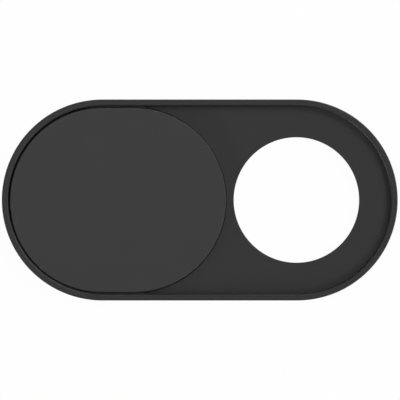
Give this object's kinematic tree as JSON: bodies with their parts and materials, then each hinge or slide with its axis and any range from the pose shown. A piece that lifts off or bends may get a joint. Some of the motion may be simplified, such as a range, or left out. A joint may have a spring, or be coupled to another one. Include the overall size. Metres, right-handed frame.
{
  "type": "webcam cover slider",
  "caption": "Flat stadium-shaped webcam cover: a shutter plate slides in side grooves of a thin frame to clear or block a round lens window.",
  "frame": {"origin": "middle of the outline, on the sticky face of the tape", "axes": "+X along the slide, from the open end to the lens window; +Z out of the front face; +Y across, up in the picture"},
  "size_m": [0.018, 0.0092, 0.0008],
  "materials": {
    "frame_plastic": "matte",
    "shutter_plastic": "matte",
    "tape": "satin"
  },
  "bodies": {
    "frame": {"frame": "frame_plastic", "adhesive_tape": "tape"},
    "shutter": {"shutter": "shutter_plastic"}
  },
  "joints": [
    {"name": "shutter_slide", "type": "slide", "parent": "frame", "child": "shutter", "axis": [1, 0, 0], "range_m": [0, 0.00742]}
  ]
}
